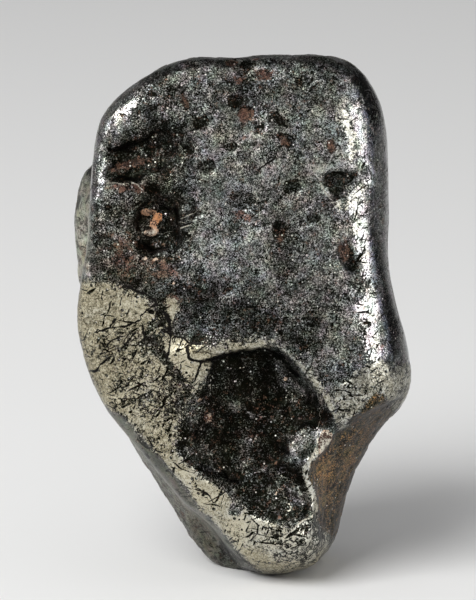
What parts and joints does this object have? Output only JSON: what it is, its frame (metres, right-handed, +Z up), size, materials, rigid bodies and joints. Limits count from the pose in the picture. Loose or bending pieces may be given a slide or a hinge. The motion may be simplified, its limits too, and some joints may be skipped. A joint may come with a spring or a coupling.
{
  "type": "josephinite nugget",
  "caption": "Water-worn nugget of natural nickel-iron, partly polished and partly dark with patina, standing on a small worn facet at its narrow end.",
  "frame": {"origin": "centre of the nugget's bounding box in X and Y, on the surface that it stands on", "axes": "+Z up along the nugget's length, -Y towards the viewer who faces its broad face, +X to that viewer's right"},
  "size_m": [0.0234, 0.0188, 0.0363],
  "materials": {
    "nickel_iron": "natural nickel-iron, river-polished on the high places, with a dark grey patina, near-black hollows and a little rust"
  },
  "bodies": {
    "root": {"nugget": "nickel_iron"}
  },
  "joints": []
}
